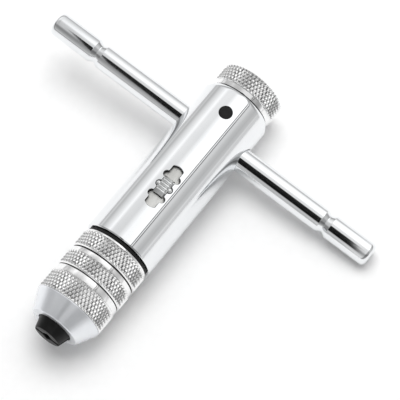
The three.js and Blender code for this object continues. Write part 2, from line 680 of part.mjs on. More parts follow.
// A plain land, a knurled band and the cone of the nose. Inside are the clamping cone, the
// thread's bore and the groove of the stop ring.
function noseSleeve() {
  const bore = SPIGOT_THREAD + RUNNING_GAP;
  const grooveBottom = STOP_RING_BOTTOM - RUNNING_GAP;
  const grooveTop = STOP_RING_TOP + RUNNING_GAP;
  const groove = STOP_RING_RADIUS + RUNNING_GAP;
  return turned([
    [NOSE_BORE, NOSE_FACE],
    [NOSE_RADIUS - CHUCK_EDGE, NOSE_FACE],
    [NOSE_RADIUS, NOSE_FACE + CHUCK_EDGE],
    [CHUCK_RADIUS, SLEEVE_CONE_TOP],
    [CHUCK_RADIUS, SLEEVE_LAND_BOTTOM - CHUCK_EDGE],
    [LAND_RADIUS, SLEEVE_LAND_BOTTOM],
    [LAND_RADIUS, SLEEVE_TOP - CHUCK_EDGE],
    [LAND_RADIUS - CHUCK_EDGE, SLEEVE_TOP],
    [bore, SLEEVE_TOP],
    [bore, grooveTop],
    [groove, grooveTop],
    [groove, grooveBottom],
    [bore, grooveBottom],
    [bore, SLEEVE_STEP],
    [clampRadius(SLEEVE_STEP), SLEEVE_STEP],
    [NOSE_BORE, NOSE_FACE + NOSE_BORE_LAND],
    [NOSE_BORE, NOSE_FACE],
  ]);
}

function sleeveStopRing() {
  const inner = SPIGOT_RELIEF + RUNNING_GAP;
  const gap = STOP_RING_GAP_HALF_WIDTH;
  return openRing(inner, STOP_RING_RADIUS, STOP_RING_BOTTOM, STOP_RING_TOP, gap, SIDES);
}

// One half of a tapered collet. side is +1 for the jaw on the switch's side and -1 for the other.
// It has a V-groove that grips one corner of a tap's square shank, pockets for the springs,
// holes for the guide pins and a tongue that slides in the spindle's end.
function jaw(side) {
  const length = JAW_TOP - JAW_TIP;
  const cone = turned([
    [0, JAW_TIP],
    [JAW_TIP_RADIUS, JAW_TIP],
    [JAW_TIP_RADIUS + length * Math.tan(CLAMP_ANGLE), JAW_TOP],
    [0, JAW_TOP],
  ], JAW_SIDES);
  const far = 2 * BODY_RADIUS;
  const toSide = (near, away) => (side > 0 ? [near, away] : [-away, -near]);
  const half = common(cone, box([-far, far], [JAW_TIP - 1, JAW_TOP + 1], toSide(JAW_HALF_GAP, far)));
  const tongueSide = [-TONGUE_WIDTH / 2, TONGUE_WIDTH / 2];
  const tongue = box(tongueSide, [JAW_TOP - 1, TONGUE_TOP], toSide(TONGUE_INNER, TONGUE_OUTER));
  const square = new THREE.BoxGeometry(JAW_SQUARE, 2 * length, JAW_SQUARE);
  square.rotateY(Math.PI / 4).translate(0, JAW_TIP + length / 2, 0);
  const tools = [square];
  for (const x of [-GUIDE_PIN_OUT, GUIDE_PIN_OUT]) {
    const at = (z) => [x, GUIDE_PIN_PLACE, side * z];
    tools.push(rod(GUIDE_PIN_RADIUS + RUNNING_GAP, at(0), at(BODY_RADIUS), TINY_SIDES));
    tools.push(rod(JAW_SPRING_POCKET, at(0), at(JAW_SPRING_POCKET_DEPTH), TINY_SIDES));
  }
  return cut(join(half, tongue), ...tools);
}

function guidePin(side) {
  const at = (z) => [side * GUIDE_PIN_OUT, GUIDE_PIN_PLACE, z];
  return rod(GUIDE_PIN_RADIUS, at(-GUIDE_PIN_HALF_LENGTH), at(GUIDE_PIN_HALF_LENGTH), TINY_SIDES);
}

function jawSpring(side) {
  const height = 2 * (JAW_SPRING_POCKET_DEPTH - RUNNING_GAP);
  const turns = 4;
  const spring = coilSpring(JAW_SPRING_RADIUS, JAW_SPRING_WIRE, height, turns).rotateX(Math.PI / 2);
  return spring.translate(side * GUIDE_PIN_OUT, GUIDE_PIN_PLACE, -height / 2);
}

// ---------------------------------------------------------------- assembly

const housing = new THREE.Group();
housing.add(
  piece('body_tube', bodyTube(), CHROME),
  piece('bar_block', barBlock(), STEEL),
  piece('block_pin', blockPin(), BLACK_OXIDE),
  piece('knurled_knob', knurledKnob(), CHROME),
  piece('bar_detent_ball', detentBall(), STEEL),
  piece('bar_detent_spring', detentSpring(), STEEL),
  piece('spindle_bush', spindleBush(), BRONZE),
  piece('seal_ring', sealRing(), RUBBER),
);

const ratchetSwitch = new THREE.Group();
ratchetSwitch.add(
  piece('switch_carrier', switchCarrier(), SATIN),
  piece('switch_button', switchButton(), CHROME),
  piece('switch_detent_clip', detentClip(), STEEL),
  piece('pawl', pawl(), STEEL),
  piece('pawl_spring_front', pawlSpring(-1), STEEL),
  piece('pawl_spring_rear', pawlSpring(1), STEEL),
);

const chuck = new THREE.Group();
chuck.add(
  piece('spindle', spindle(), STEEL),
  piece('lower_ratchet_wheel', ratchetWheel(1, LOWER_WHEEL_BOTTOM), STEEL),
  piece('upper_ratchet_wheel', ratchetWheel(-1, UPPER_WHEEL_BOTTOM), STEEL),
  piece('wheel_key', wheelKey(), STEEL),
  piece('wheel_spacer', wheelSpacer(), STEEL),
  piece('top_retaining_ring', topRetainingRing(), STEEL),
  piece('lower_retaining_ring', lowerRetainingRing(), STEEL),
  piece('thrust_washer', thrustWasher(), BRONZE),
  piece('chuck_collar', chuckCollar(), CHROME),
  piece('nose_sleeve', noseSleeve(), SATIN),
  piece('sleeve_stop_ring', sleeveStopRing(), STEEL),
  piece('jaw_upper', jaw(1), BLACK_OXIDE),
  piece('jaw_lower', jaw(-1), BLACK_OXIDE),
);
for (const [place, side] of [['left', -1], ['right', 1]]) {
  chuck.add(
    piece(`jaw_guide_pin_${place}`, guidePin(side), STEEL),
    piece(`jaw_spring_${place}`, jawSpring(side), STEEL),
  );
}

const tool = new THREE.Group();
tool.add(housing, ratchetSwitch, chuck, piece('cross_bar', crossBar(), CHROME));
tool.rotation.y = BAR_TILT;
tool.position.set(0, -MIDDLE, AXIS_HEIGHT);

const wrench = new THREE.Group();
wrench.add(tool);

export default wrench;
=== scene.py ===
"""Looks of a ratchet tap wrench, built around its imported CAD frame. All lengths are in metres."""

import json
import math

import bmesh
import bpy
from mathutils import Matrix, Vector
from mathutils.geometry import delaunay_2d_cdt


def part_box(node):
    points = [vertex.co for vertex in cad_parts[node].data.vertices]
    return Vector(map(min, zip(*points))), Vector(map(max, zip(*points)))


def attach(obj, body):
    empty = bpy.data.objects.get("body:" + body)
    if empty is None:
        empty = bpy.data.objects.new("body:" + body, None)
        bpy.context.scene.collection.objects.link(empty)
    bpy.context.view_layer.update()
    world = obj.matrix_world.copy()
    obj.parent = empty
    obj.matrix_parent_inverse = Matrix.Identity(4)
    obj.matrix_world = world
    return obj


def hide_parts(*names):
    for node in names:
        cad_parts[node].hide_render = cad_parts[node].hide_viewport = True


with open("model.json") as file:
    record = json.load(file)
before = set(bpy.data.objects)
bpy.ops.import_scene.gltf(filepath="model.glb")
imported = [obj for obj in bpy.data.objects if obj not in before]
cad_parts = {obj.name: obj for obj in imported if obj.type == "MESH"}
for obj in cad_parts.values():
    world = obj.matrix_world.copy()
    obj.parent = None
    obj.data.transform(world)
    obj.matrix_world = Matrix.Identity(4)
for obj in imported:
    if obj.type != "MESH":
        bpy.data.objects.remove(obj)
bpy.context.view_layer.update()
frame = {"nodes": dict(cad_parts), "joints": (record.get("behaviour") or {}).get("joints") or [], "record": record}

MM = 0.001

# ---------------------------------------------------------------- the tool's own axes, from the frame

joints = {joint["name"]: joint for joint in frame["joints"]}
BAR_AXIS = Vector(joints["bar_slide"]["axis"])
TOOL_AXIS = Vector(joints["chuck_spin"]["axis"])
SWITCH_AXIS = Vector(joints["pawl_lift"]["axis"])


def along(node):
    """Where a node starts and ends along the tool, measured from the bar."""
    low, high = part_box(node)
    return low.y - BAR_PLACE, high.y - BAR_PLACE


def middle(node):
    low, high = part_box(node)
    return (low + high) / 2


BAR_PLACE = middle("cross_bar").y
AXIS_HEIGHT = joints["chuck_spin"]["pos_m"][2]
TOOL_ORIGIN = Vector((0, BAR_PLACE, AXIS_HEIGHT))
TOOL = Matrix.Translation(TOOL_ORIGIN) @ Matrix((BAR_AXIS, TOOL_AXIS, SWITCH_AXIS)).transposed().to_4x4()

BODY_RADIUS = AXIS_HEIGHT   # the body lies on the floor
BODY_BORE = 7.6 * MM
RELIEF_RADIUS = 8.85 * MM
BAR_RADIUS = 3.22 * MM
BAR_HOLE_RADIUS = 3.42 * MM
BAR_HOLE_DEPTH = 3 * MM
PIN_RADIUS = 1.72 * MM
PIN_HOLE_RADIUS = PIN_RADIUS + 0.05 * MM
CHUCK_RADIUS = 9.4 * MM
LAND_RADIUS = 9.2 * MM
KNURL_EDGE_RADIUS = CHUCK_RADIUS - 0.3 * MM     # where the chuck's knurled bands start and end
KNOB_RADIUS = 8.85 * MM
KNOB_LAND_BOTTOM = along("body_tube")[1] + 0.3 * MM
KNOB_BAND = (KNOB_LAND_BOTTOM + 1.35 * MM, along("knurled_knob")[1] - 1.25 * MM)
CONE_LENGTH = 5.4 * MM
COLLAR_LIP = 0.4 * MM       # a bright bead on the collar's end, under the seal
KNURL_WIDTH = 1.07 * MM     # of one diamond, round the piece
KNURL_LENGTH = 1.85 * MM    # of one diamond, along the piece
KNURL_DEPTH = 0.44 * MM
KNURL_STEPS = 6             # mesh steps across one diamond
KNURL_RUN_OUT = 0.3 * MM    # over which a knurl fades at the ends of its band
NOTHING = 1e-7              # a length below this counts as none

# ---------------------------------------------------------------- mesh helpers


def new_object(name, mesh, body, material, replaced=()):
    """A finished piece: its mesh goes from the tool's axes to the row frame and rides on a body."""
    mesh.transform(TOOL)
    mesh.materials.append(material)
    piece = bpy.data.objects.new(name, mesh)
    bpy.context.scene.collection.objects.link(piece)
    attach(piece, body)
    if replaced:
        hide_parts(*replaced)


def mesh_from(name, vertices, faces):
    mesh = bpy.data.meshes.new(name)
    mesh.from_pydata([tuple(v) for v in vertices], [], faces)
    mesh.update()
    mesh.shade_smooth()
    return mesh


def tidy(mesh, distance=0.0005 * MM, sharp_degrees=35):
    """Merges doubles, points every face outwards and keeps edges sharp above an angle."""
    shape = bmesh.new()
    shape.from_mesh(mesh)
    bmesh.ops.remove_doubles(shape, verts=shape.verts, dist=distance)
    bmesh.ops.dissolve_degenerate(shape, edges=shape.edges, dist=distance / 10)
    bmesh.ops.recalc_face_normals(shape, faces=shape.faces)
    for edge in shape.edges:
        if len(edge.link_faces) == 2:
            edge.smooth = edge.calc_face_angle(0) < math.radians(sharp_degrees)
    for face in shape.faces:
        face.smooth = True
    shape.to_mesh(mesh)
    shape.free()
    mesh.update()
    return mesh


def arc(centre, radius, start, end, steps):
    """Points of a circular arc in the (radius, along) plane; angles in degrees."""
    points = []
    for step in range(steps + 1):
        angle = math.radians(start + (end - start) * step / steps)
        points.append((centre[0] + radius * math.cos(angle), centre[1] + radius * math.sin(angle)))
    return points


def rounded_profile(corners, radius, steps=4):
    """A profile whose corners are rounded.

    Each corner is (radius, along), or (radius, along, own rounding).
    """
    points = []
    for place, corner in enumerate(corners):
        here = Vector(corner[:2])
        size = corner[2] if len(corner) > 2 else radius
        if place in (0, len(corners) - 1) or size == 0:
            points.append(tuple(here))
            continue
        before = Vector(corners[place - 1][:2]) - here
        after = Vector(corners[place + 1][:2]) - here
        angle = before.angle(after)
        reach = min(size / math.tan(angle / 2), before.length * 0.49, after.length * 0.49)
        start = here + before.normalized() * reach
        end = here + after.normalized() * reach
        for step in range(steps + 1):
            t = step / steps
            points.append(tuple((1 - t) ** 2 * start + 2 * t * (1 - t) * here + t * t * end))
    return points


def add_bands(faces, first, levels, count):
    """Quads between closed rings of vertices that follow one another from a first vertex."""
    for level in range(levels - 1):
        for i in range(count):
            a = first + level * count + i
            b = first + level * count + (i + 1) % count
            faces.append((a, b, b + count, a + count))


def turned(name, profile, sides=192):
    """A solid of revolution about the tool's axis."""
    vertices = []
    faces = []
    rings = []
    for radius, y in profile:
        if radius < NOTHING:
            rings.append([len(vertices)])
            vertices.append((0, y, 0))
            continue
        rings.append(list(range(len(vertices), len(vertices) + sides)))
        for side in range(sides):
            angle = 2 * math.pi * side / sides
            vertices.append((radius * math.sin(angle), y, radius * math.cos(angle)))
    for low, high in zip(rings, rings[1:]):
        for side in range(sides):
            after = (side + 1) % sides
            quad = [
                low[side % len(low)],
                low[after % len(low)],
                high[after % len(high)],
                high[side % len(high)],
            ]
            corners = list(dict.fromkeys(quad))
            if len(corners) > 2:
                faces.append(corners)
    return tidy(mesh_from(name, vertices, faces))


# ---------------------------------------------------------------- material helpers

BUMP_DEPTH = 0.04 * MM
COARSE_BUMP_DEPTH = 0.05 * MM
CLOUD_SCALE = 140

def new_material(name):
    material = bpy.data.materials.new(name)
    material.use_nodes = True
    nodes = material.node_tree.nodes
    return material, nodes, material.node_tree.links, nodes["Principled BSDF"]


def noise(nodes, links, vector, scale, detail=3, roughness=0.5):
    node = nodes.new("ShaderNodeTexNoise")
    node.inputs["Scale"].default_value = scale
    node.inputs["Detail"].default_value = detail
    node.inputs["Roughness"].default_value = roughness
    links.new(vector, node.inputs["Vector"])
    return node.outputs["Fac"]


def ramp(nodes, links, value, stops):
    """A colour ramp through (place, grey or colour) stops."""
    node = nodes.new("ShaderNodeValToRGB")
    elements = node.color_ramp.elements
    while len(elements) < len(stops):
        elements.new(0.5)
    for element, (place, colour) in zip(elements, stops):
        rgb = colour if isinstance(colour, tuple) else (colour, colour, colour)
        element.position = place
        element.color = (*rgb, 1)
    links.new(value, node.inputs["Fac"])
    return node.outputs["Color"]


def tool_coordinates(nodes, links, stretch=(1, 1, 1)):
    """Object coordinates, in metres, stretched along the tool for brushed or turned marks."""
    coordinates = nodes.new("ShaderNodeTexCoord")
    mapping = nodes.new("ShaderNodeMapping")
    mapping.inputs["Scale"].default_value = stretch
    links.new(coordinates.outputs["Object"], mapping.inputs["Vector"])
    return mapping.outputs["Vector"]


def separated(nodes, links, vector):
    """The X, Y and Z of a vector."""
    split = nodes.new("ShaderNodeSeparateXYZ")
    links.new(vector, split.inputs["Vector"])
    return split.outputs["X"], split.outputs["Y"], split.outputs["Z"]


def calculated(nodes, links, operation, *values):
    """A math node's result, from node outputs or plain numbers."""
    node = nodes.new("ShaderNodeMath")
    node.operation = operation
    for socket, value in zip(node.inputs, values):
        if isinstance(value, (int, float)):
            socket.default_value = value
        else:
            links.new(value, socket)
    return node.outputs["Value"]


def share_between(nodes, links, value, low, high):
    """Where a value lies between two limits, from 0 to 1."""
    node = nodes.new("ShaderNodeMapRange")
    node.inputs["From Min"].default_value = low
    node.inputs["From Max"].default_value = high
    links.new(value, node.inputs["Value"])
    return node.outputs["Result"]


def blend(nodes, links, kind, first, second, amount=None):
    """Two colours put together by a blend of the given kind, in full or by an amount."""
    mix = nodes.new("ShaderNodeMix")
    mix.data_type = "RGBA"
    mix.blend_type = kind
    mix.inputs["Factor"].default_value = 1
    if amount is not None:
        links.new(amount, mix.inputs["Factor"])
    links.new(first, mix.inputs["A"])
    links.new(second, mix.inputs["B"])
    return mix.outputs["Result"]


def bump(nodes, links, height, strength, shader, depth=BUMP_DEPTH):
    """Fine relief from a height between 0 and 1."""
    node = nodes.new("ShaderNodeBump")
    node.inputs["Strength"].default_value = strength
    node.inputs["Distance"].default_value = depth
    links.new(height, node.inputs["Height"])
    links.new(node.outputs["Normal"], shader.inputs["Normal"])


def metal(name, light, dark, rough, grain_scale, bump_strength, grain=(1, 1, 1), metallic=1.0):
    """Plated or bare metal: slow cloudy tint, finer variation of gloss, and fine tool marks."""
    material, nodes, links, shader = new_material(name)
    shader.inputs["Metallic"].default_value = metallic
    plain = tool_coordinates(nodes, links)
    grained = tool_coordinates(nodes, links, grain)
    clouds = noise(nodes, links, plain, CLOUD_SCALE, 4)
    links.new(ramp(nodes, links, clouds, [(0.3, dark), (0.7, light)]), shader.inputs["Base Color"])
    marks = noise(nodes, links, grained, grain_scale, 5, 0.65)
    links.new(ramp(nodes, links, marks, [(0.3, rough[0]), (0.75, rough[1])]), shader.inputs["Roughness"])
    bump(nodes, links, marks, bump_strength, shader)
    return material


CHROME_LIGHT = (0.87, 0.88, 0.89)
CHROME_DARK = (0.83, 0.845, 0.86)


def polished_chrome():
    """The body's mirror chrome, with very fine marks along the tool."""
    return metal("polished_chrome", CHROME_LIGHT, CHROME_DARK, rough=(0.03, 0.065),
                 grain=(1, 0.06, 1), grain_scale=1600, bump_strength=0.012)


def bar_chrome():
    """The bar's chrome, a little duller than the body's."""
    return metal("bar_chrome", CHROME_LIGHT, CHROME_DARK, rough=(0.045, 0.1),
                 grain_scale=1500, bump_strength=0.02)


def distance_from_axis(nodes, links, x, z):
    """How far a place is from the tool's axis."""
    across = nodes.new("ShaderNodeCombineXYZ")
    links.new(x, across.inputs["X"])
    links.new(calculated(nodes, links, "SUBTRACT", z, AXIS_HEIGHT), across.inputs["Z"])
    length = nodes.new("ShaderNodeVectorMath")
    length.operation = "LENGTH"
    links.new(across.outputs["Vector"], length.inputs[0])
    return length.outputs["Value"]


# Painted shade in a knurl's grooves: brightness by its height, from twice its depth below the outer radius up to
# that radius.
GROOVE_PAINTED_SHADE = [(0.08, 1.0), (0.13, 0.04), (0.52, 0.05), (0.57, 0.3), (0.62, 0.9), (0.68, 1.0)]


def knurl_chrome(name, peak, low, high):
    """Chrome over a knurl of this outer radius between two places along the tool.

    Painted shade darkens the knurl's grooves and pits.
    """
    material, nodes, links, shader = new_material(name)
    shader.inputs["Metallic"].default_value = 1.0
    coordinates = tool_coordinates(nodes, links)
    x, y, z = separated(nodes, links, coordinates)
    radius = distance_from_axis(nodes, links, x, z)
    level = share_between(nodes, links, radius, peak - 2 * KNURL_DEPTH, peak)
    # painted shade: the base colour gets darker with depth in the knurl's grooves, inside the band
    groove_shade = ramp(nodes, links, level, GROOVE_PAINTED_SHADE)
    cloudy = ramp(nodes, links, noise(nodes, links, coordinates, 900, 4), [(0.3, 0.87), (0.7, 0.95)])
    in_band = calculated(nodes, links, "COMPARE", y, BAR_PLACE + (low + high) / 2, (high - low) / 2)
    shaded_in_grooves = blend(nodes, links, "MULTIPLY", cloudy, groove_shade, in_band)
    links.new(shaded_in_grooves, shader.inputs["Base Color"])
    grain = noise(nodes, links, coordinates, 2500, 5, 0.65)
    links.new(ramp(nodes, links, grain, [(0.3, 0.06), (0.75, 0.16)]), shader.inputs["Roughness"])
    bump(nodes, links, grain, 0.05, shader)
    return material


def satin_chrome():
    """The cone's satin chrome, with fine marks round the tool."""
    return metal("satin_chrome", (0.91, 0.925, 0.95), (0.83, 0.85, 0.885), rough=(0.21, 0.27),
                 grain=(0.25, 1, 0.25), grain_scale=1300, bump_strength=0.012, metallic=0.62)


def matt_steel():
    return metal("satin_steel", (0.76, 0.76, 0.74), (0.60, 0.60, 0.58), rough=(0.32, 0.5),
                 grain=(1, 0.2, 1), grain_scale=2400, bump_strength=0.15)


def button_chrome():
    return metal("button_chrome", (0.88, 0.89, 0.89), (0.70, 0.71, 0.71), rough=(0.1, 0.24),
                 grain=(0.3, 1, 1), grain_scale=1800, bump_strength=0.06)


def plain_steel():
    return metal("plain_steel", (0.60, 0.61, 0.62), (0.48, 0.49, 0.50), rough=(0.28, 0.45),
                 grain_scale=1800, bump_strength=0.1)


def bronze():
    return metal("bronze", (0.70, 0.50, 0.24), (0.55, 0.38, 0.17), rough=(0.3, 0.5),
                 grain_scale=1800, bump_strength=0.1)


def black_oxide():
    """Oiled black oxide on steel, with a little bare metal where it has worn."""
    material, nodes, links, shader = new_material("black_oxide")
    plain = tool_coordinates(nodes, links)
    grain = noise(nodes, links, plain, 2600, 6, 0.7)
    worn = noise(nodes, links, plain, 500, 5, 0.6)
    bare = (0.03, 0.03, 0.028)
    colour = ramp(nodes, links, worn, [(0.35, 0.004), (0.65, 0.009), (0.82, bare)])
    links.new(colour, shader.inputs["Base Color"])
    links.new(ramp(nodes, links, grain, [(0.3, 0.34), (0.75, 0.5)]), shader.inputs["Roughness"])
    shader.inputs["Specular IOR Level"].default_value = 0.22
    bump(nodes, links, grain, 0.2, shader, COARSE_BUMP_DEPTH)
    return material


def rubber():
    material, nodes, links, shader = new_material("seal_rubber")
    grain = noise(nodes, links, tool_coordinates(nodes, links), 1800, 5, 0.6)
    links.new(ramp(nodes, links, grain, [(0.3, 0.006), (0.8, 0.016)]), shader.inputs["Base Color"])
    links.new(ramp(nodes, links, grain, [(0.3, 0.5), (0.8, 0.7)]), shader.inputs["Roughness"])
    shader.inputs["Specular IOR Level"].default_value = 0.25
    bump(nodes, links, grain, 0.15, shader, COARSE_BUMP_DEPTH)
    return material


CHROME = polished_chrome()
BAR_CHROME = bar_chrome()
KNOB_CHROME = knurl_chrome("knob_chrome", KNOB_RADIUS, *KNOB_BAND)
CHUCK_BAND = (along("nose_sleeve")[0], along("chuck_collar")[1])
CHUCK_CHROME = knurl_chrome("chuck_chrome", CHUCK_RADIUS, *CHUCK_BAND)
SATIN = satin_chrome()
MATT = matt_steel()
STEEL = plain_steel()
BRONZE = bronze()
BLACK = black_oxide()
RUBBER = rubber()
BUTTON = button_chrome()

# ---------------------------------------------------------------- body tube

SLOT_ROUNDING = 0.14 * MM
PIN_HOLE_ROUNDING = 0.06 * MM
BAR_HOLE_ROUNDING = 0.18 * MM


def smoothed(points, passes):
    """A closed outline with its corners softened."""
    for _ in range(passes):
        count = len(points)
        points = [
            (points[i - 1] + points[i] * 2 + points[(i + 1) % count]) / 4
            for i in range(count)
        ]
    return points


def spaced(points, step):
    """The same closed outline with its points a regular step apart."""
    lengths = [(points[(i + 1) % len(points)] - points[i]).length for i in range(len(points))]
    count = max(12, round(sum(lengths) / step))
    spacing = sum(lengths) / count
    result = []
    walked = 0.0
    edge = 0
    for i in range(count):
        goal = i * spacing
        while walked + lengths[edge] < goal:
            walked += lengths[edge]
            edge += 1
        t = (goal - walked) / lengths[edge]
        result.append(points[edge].lerp(points[(edge + 1) % len(points)], t))
    return result


def grown(points, distance):
    """A closed, counter-clockwise outline moved outwards by a distance."""
    count = len(points)
    result = []
    for i in range(count):
        direction = (points[(i + 1) % count] - points[i - 1]).normalized()
        result.append(points[i] + Vector((direction.y, -direction.x)) * distance)
    return result


def circle(centre, radius, count):
    return [
        Vector((centre[0] + radius * math.cos(2 * math.pi * i / count),
                centre[1] + radius * math.sin(2 * math.pi * i / count)))
        for i in range(count)
    ]


SLOT_MIDDLE = middle("switch_button").y - BAR_PLACE
SLOT_HALF_LENGTH = 6.3 * MM
SLOT_HALF_WIDTH = 1.55 * MM
SLOT_END_BULGE = 0.5 * MM
NOTCH_SPACING = abs(joints["switch_slide"]["range_m"][1])
NOTCH_RADIUS = 0.9 * MM


def slot_outline():
    """The switch slot, counter-clockwise in (x, y).

    It has three round notches on each side and shallow curved ends.
    """
    step = 0.04 * MM
    side = []
    count = round(2 * (SLOT_HALF_LENGTH - SLOT_END_BULGE) / step)
    for i in range(count + 1):
        y = -SLOT_HALF_LENGTH + SLOT_END_BULGE + i * step
        nearest = max(-1, min(1, round(y / NOTCH_SPACING))) * NOTCH_SPACING
        reach = NOTCH_RADIUS ** 2 - (y - nearest) ** 2
        side.append(Vector((SLOT_HALF_WIDTH + math.sqrt(max(0.0, reach)), y)))
    end = []
    end_count = 30
    for i in range(1, end_count):
        x = SLOT_HALF_WIDTH * (1 - 2 * i / end_count)
        bulge = SLOT_END_BULGE * (1 - (x / SLOT_HALF_WIDTH) ** 2)
        end.append(Vector((x, SLOT_HALF_LENGTH - SLOT_END_BULGE + bulge)))
    half = side + end
    fine = spaced(half + [-point for point in half], 0.05 * MM)
    outline = spaced(smoothed(fine, 10), 0.09 * MM)
    return [point + Vector((0, SLOT_MIDDLE)) for point in outline]


def unrolled(point, facing):
    """A point of a hole's plan view, (across, along), as (angle round the body, along)."""
    return Vector((math.asin(point.x / BODY_RADIUS) + facing, point.y))


def wrapped(angle, y, facing=0.0, depth=0.0):
    """A point of the body's surface, sunk by a depth square to a hole's plan."""
    surface = Vector((BODY_RADIUS * math.sin(angle), y, BODY_RADIUS * math.cos(angle)))
    return surface - Vector((math.sin(facing), 0, math.cos(facing))) * depth


def body_holes():
    """Each hole of the body: plan outline, the angle it faces, how deep its wall goes, edge rounding."""
    pin = circle((0, middle("block_pin").y - BAR_PLACE), PIN_HOLE_RADIUS, 56)
    bar_hole = circle((0, 0), BAR_HOLE_RADIUS, 96)
    return [
        (slot_outline(), 0.0, BODY_RADIUS - RELIEF_RADIUS, SLOT_ROUNDING),
        (pin, 0.0, BODY_RADIUS - BODY_BORE, PIN_HOLE_ROUNDING),
        (bar_hole, math.pi / 2, BAR_HOLE_DEPTH, BAR_HOLE_ROUNDING),
        (bar_hole, -math.pi / 2, BAR_HOLE_DEPTH, BAR_HOLE_ROUNDING),
    ]


def in_millimetres(point):
    """A point of the unrolled body, (angle, along), measured in millimetres both ways."""
    return Vector((point.x * BODY_RADIUS / MM, point.y / MM))


def near(point, ring):
    """Whether a plan point is inside or very close to a hole's ring."""
    margin = 0.12 * MM
    low_x = min(p.x for p in ring) - margin / BODY_RADIUS
    high_x = max(p.x for p in ring) + margin / BODY_RADIUS
    low_y = min(p.y for p in ring) - margin
    high_y = max(p.y for p in ring) + margin
    if not (low_x < point.x < high_x and low_y < point.y < high_y):
        return False
    if inside(point, ring):
        return True
    return any(((p.x - point.x) * BODY_RADIUS) ** 2 + (p.y - point.y) ** 2 < margin ** 2 for p in ring)


def inside(point, ring):
    """Whether a plan point is inside a closed ring."""
    found = False
    for i in range(len(ring)):
        a, b = ring[i - 1], ring[i]
        if (a.y > point.y) != (b.y > point.y):
            if point.x < (b.x - a.x) * (point.y - a.y) / (b.y - a.y) + a.x:
                found = not found
    return found


def body_sheet(rings, low, high, columns):
    """The body's cylinder between two heights, as vertices and triangles, with a gap inside each ring."""
    rows = 60
    plan = []
    edges = []
    for ring in rings:
        first = len(plan)
        plan.extend(ring)
        edges.extend((first + i, first + (i + 1) % len(ring)) for i in range(len(ring)))
    for i in range(columns + 1):
        angle = math.pi * (2 * i / columns - 1)
        for j in range(rows + 1):
            point = Vector((angle, low + (high - low) * j / rows))
            if not any(near(point, ring) for ring in rings):
                plan.append(point)
    result = delaunay_2d_cdt([in_millimetres(point) for point in plan], edges, [], 0, 1e-6)
    flat, triangles = result[0], result[2]
    vertices = [wrapped(point.x * MM / BODY_RADIUS, point.y * MM) for point in flat]
    flat_rings = [[in_millimetres(point) for point in ring] for ring in rings]
    faces = []
    for triangle in triangles:
        centre = sum((flat[i] for i in triangle), Vector((0, 0))) / 3
        if not any(inside(centre, ring) for ring in flat_rings):
            faces.append(tuple(triangle))
    return vertices, faces


def add_wall(vertices, faces, rings, facing):
    """Quads down a hole's rings; each ring is a plan outline and its depth."""
    first = len(vertices)
    for outline, depth in rings:
        for point in outline:
            flat = unrolled(point, facing)
            vertices.append(wrapped(flat.x, flat.y, facing, depth))
    add_bands(faces, first, len(rings), len(rings[0][0]))


def add_hole(vertices, faces, outline, facing, wall, rounding):
    """The rounded-over edge of a hole, and its wall."""
    rounding_steps = 4
    rings = []
    for step in range(rounding_steps + 1):
        angle = math.pi / 2 * step / rounding_steps
        outline_here = grown(outline, rounding * (1 - math.sin(angle)))
        rings.append((outline_here, rounding * (1 - math.cos(angle))))
    rings.append((outline, wall))
    add_wall(vertices, faces, rings, facing)


def add_revolved(vertices, faces, profile, sides):
    """Bands of quads from a profile turned about the tool's axis, open at both ends."""
    first = len(vertices)
    for radius, y in profile:
        for side in range(sides):
            angle = -math.pi + 2 * math.pi * side / sides
            vertices.append((radius * math.sin(angle), y, radius * math.cos(angle)))
    add_bands(faces, first, len(profile), sides)


def set_round_normals(mesh, low, high):
    """Exact normals on the cylindrical part, so that its reflections run straight past the holes."""
    off_surface = 0.003 * MM
    margin = 0.001 * MM
    corner_normals = []
    for loop in mesh.loops:
        point = mesh.vertices[loop.vertex_index].co
        outward = Vector((point.x, 0, point.z))
        on_surface = abs(outward.length - BODY_RADIUS) < off_surface
        if on_surface and low - margin <= point.y <= high + margin:
            corner_normals.append(tuple(outward.normalized()))
        else:
            corner_normals.append((0, 0, 0))
    mesh.normals_split_custom_set(corner_normals)


def body_tube():
    """The body: a sheet with rounded-over holes wrapped round the axis, closed by turned ends."""
    bottom, top = along("body_tube")
    chamfer_start = top - 1.4 * MM
    lip_start = bottom + 0.35 * MM
    columns = 180
    holes = body_holes()
    rings = [
        [unrolled(point, facing) for point in grown(outline, rounding)]
        for outline, facing, _, rounding in holes
    ]
    vertices, faces = body_sheet(rings, lip_start, chamfer_start, columns)
    for hole in holes:
        add_hole(vertices, faces, *hole)
    add_revolved(vertices, faces, rounded_profile([
        (BODY_RADIUS, chamfer_start),
        (BODY_RADIUS - 0.85 * MM, top, 0.12 * MM),
        (BODY_BORE + 0.25 * MM, top, 0.1 * MM),
        (BODY_BORE, top - 0.4 * MM),
    ], 0.1 * MM), columns)
    add_revolved(vertices, faces, rounded_profile([
        (BODY_BORE, bottom + 3 * MM),
        (BODY_BORE, bottom, 0.1 * MM),
        (BODY_RADIUS - 0.3 * MM, bottom, 0.1 * MM),
        (BODY_RADIUS, lip_start),
    ], 0.1 * MM), columns)
    mesh = mesh_from("body_tube_polished", vertices, faces)
    tidy(mesh, 0.002 * MM, 40)
    set_round_normals(mesh, lip_start, chamfer_start)
    new_object("body_tube_polished", mesh, "housing", CHROME, ["body_tube"])


# ---------------------------------------------------------------- knurled pieces


def knurl_height(p, q):
    """Height, 0 to 1, of a diamond knurl at a place counted in diamonds round and along the piece."""
    crown = 0.15
    flanks = [2 * abs(s - round(s)) for s in (p + q, p - q)]
    return (1 - crown) * min(flanks) + crown * max(flanks)


